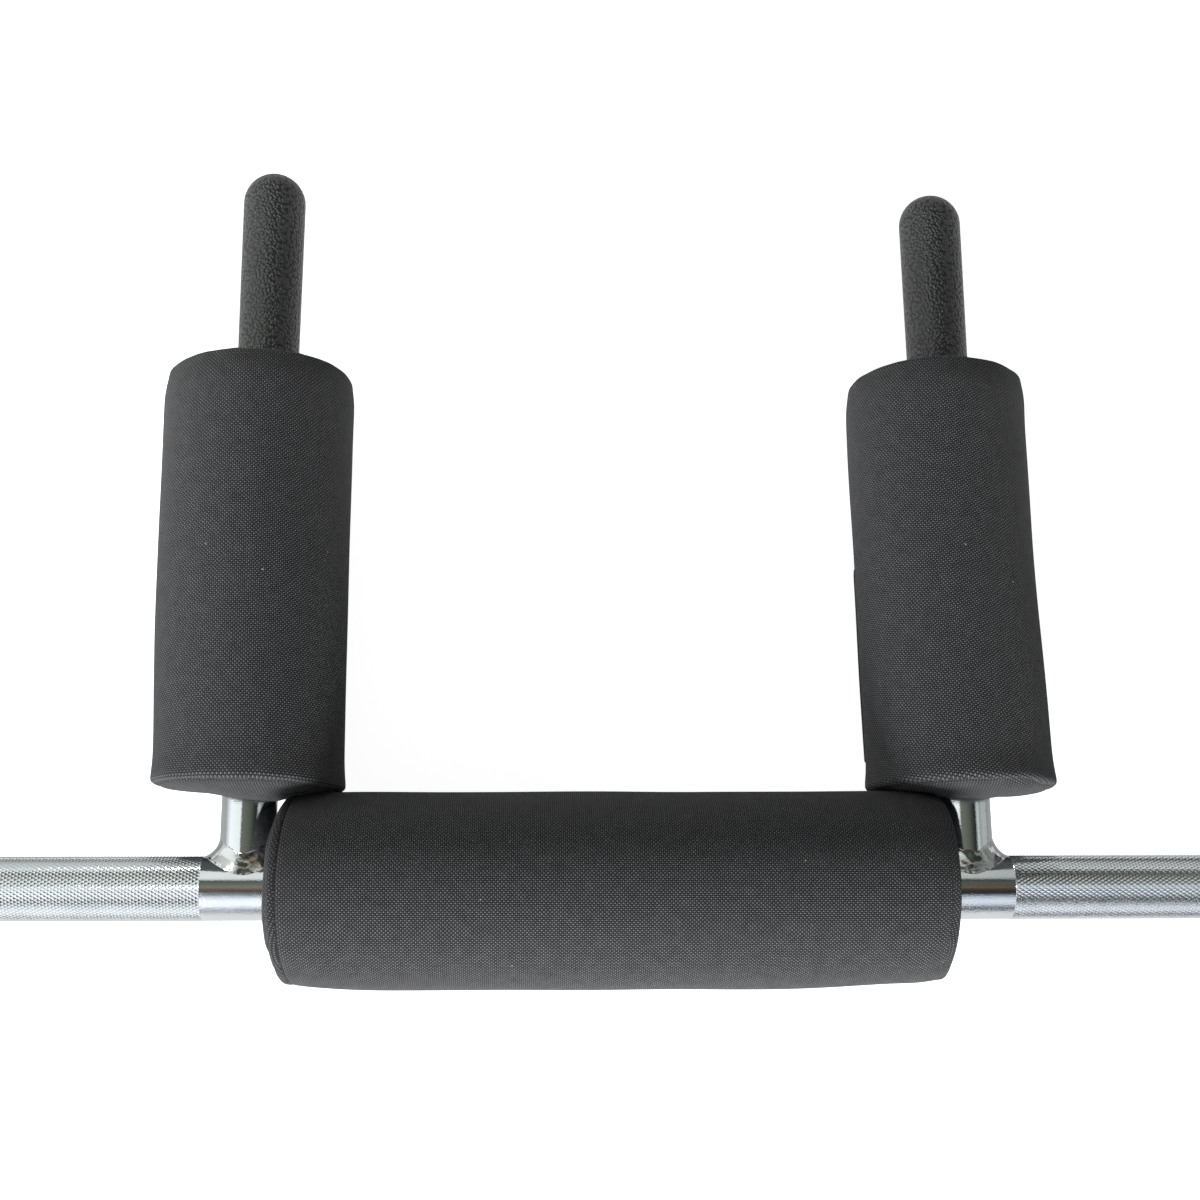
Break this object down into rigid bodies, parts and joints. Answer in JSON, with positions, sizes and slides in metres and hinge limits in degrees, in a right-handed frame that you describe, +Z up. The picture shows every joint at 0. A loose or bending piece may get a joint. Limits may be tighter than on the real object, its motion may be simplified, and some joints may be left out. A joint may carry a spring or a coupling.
{
  "type": "safety squat bar",
  "caption": "Straight weight bar with two forward arms, foam neck and shoulder pads, rubber hand grips and turning plate sleeves.",
  "frame": {"origin": "on the floor, under the middle of the shaft, where the neck pad rests", "axes": "+X along the shaft to the right seen from the user's side in the picture, +Y from the shaft towards the hand grips, +Z up from the floor"},
  "size_m": [2.2, 0.4415, 0.0965],
  "materials": {
    "shaft_chrome": "chrome plated, diamond knurl outside the arms",
    "arm_chrome": "bright chrome plated tube",
    "weld_chrome": "chrome plated over the weld bead",
    "sleeve_chrome": "satin hard chrome",
    "grip_rubber": "pebble grain, matt",
    "foam": "closed cell foam",
    "woven_nylon": "plain woven nylon, matt",
    "closure_tape": "hook and loop tape",
    "bronze": "oil filled bearing bronze",
    "spring_steel": "phosphated spring steel",
    "cap_plastic": "moulded black"
  },
  "bodies": {
    "bar": {"bar_shaft": "shaft_chrome", "left_arm": "arm_chrome", "right_arm": "arm_chrome", "left_weld": "weld_chrome", "right_weld": "weld_chrome", "left_grip": "grip_rubber", "right_grip": "grip_rubber", "neck_foam_core": "foam", "left_foam_core": "foam", "right_foam_core": "foam", "neck_pad_cover": "woven_nylon", "left_pad_cover": "woven_nylon", "right_pad_cover": "woven_nylon", "neck_pad_flap": "closure_tape", "left_pad_flap": "closure_tape", "right_pad_flap": "closure_tape", "left_thrust_washer": "bronze", "right_thrust_washer": "bronze", "left_end_washer": "bronze", "right_end_washer": "bronze", "left_snap_ring": "spring_steel", "right_snap_ring": "spring_steel"},
    "left_turning_sleeve": {"left_sleeve": "sleeve_chrome", "left_collar": "sleeve_chrome", "left_inner_bushing": "bronze", "left_outer_bushing": "bronze", "left_end_cap": "cap_plastic", "left_cap_ring": "spring_steel"},
    "right_turning_sleeve": {"right_sleeve": "sleeve_chrome", "right_collar": "sleeve_chrome", "right_inner_bushing": "bronze", "right_outer_bushing": "bronze", "right_end_cap": "cap_plastic", "right_cap_ring": "spring_steel"}
  },
  "joints": [
    {"name": "left_sleeve_spin", "type": "hinge", "parent": "bar", "child": "left_turning_sleeve", "pos_m": [-0.8775, 0, 0.048], "axis": [1, 0, 0], "continuous": true},
    {"name": "right_sleeve_spin", "type": "hinge", "parent": "bar", "child": "right_turning_sleeve", "pos_m": [0.8775, 0, 0.048], "axis": [1, 0, 0], "continuous": true}
  ]
}
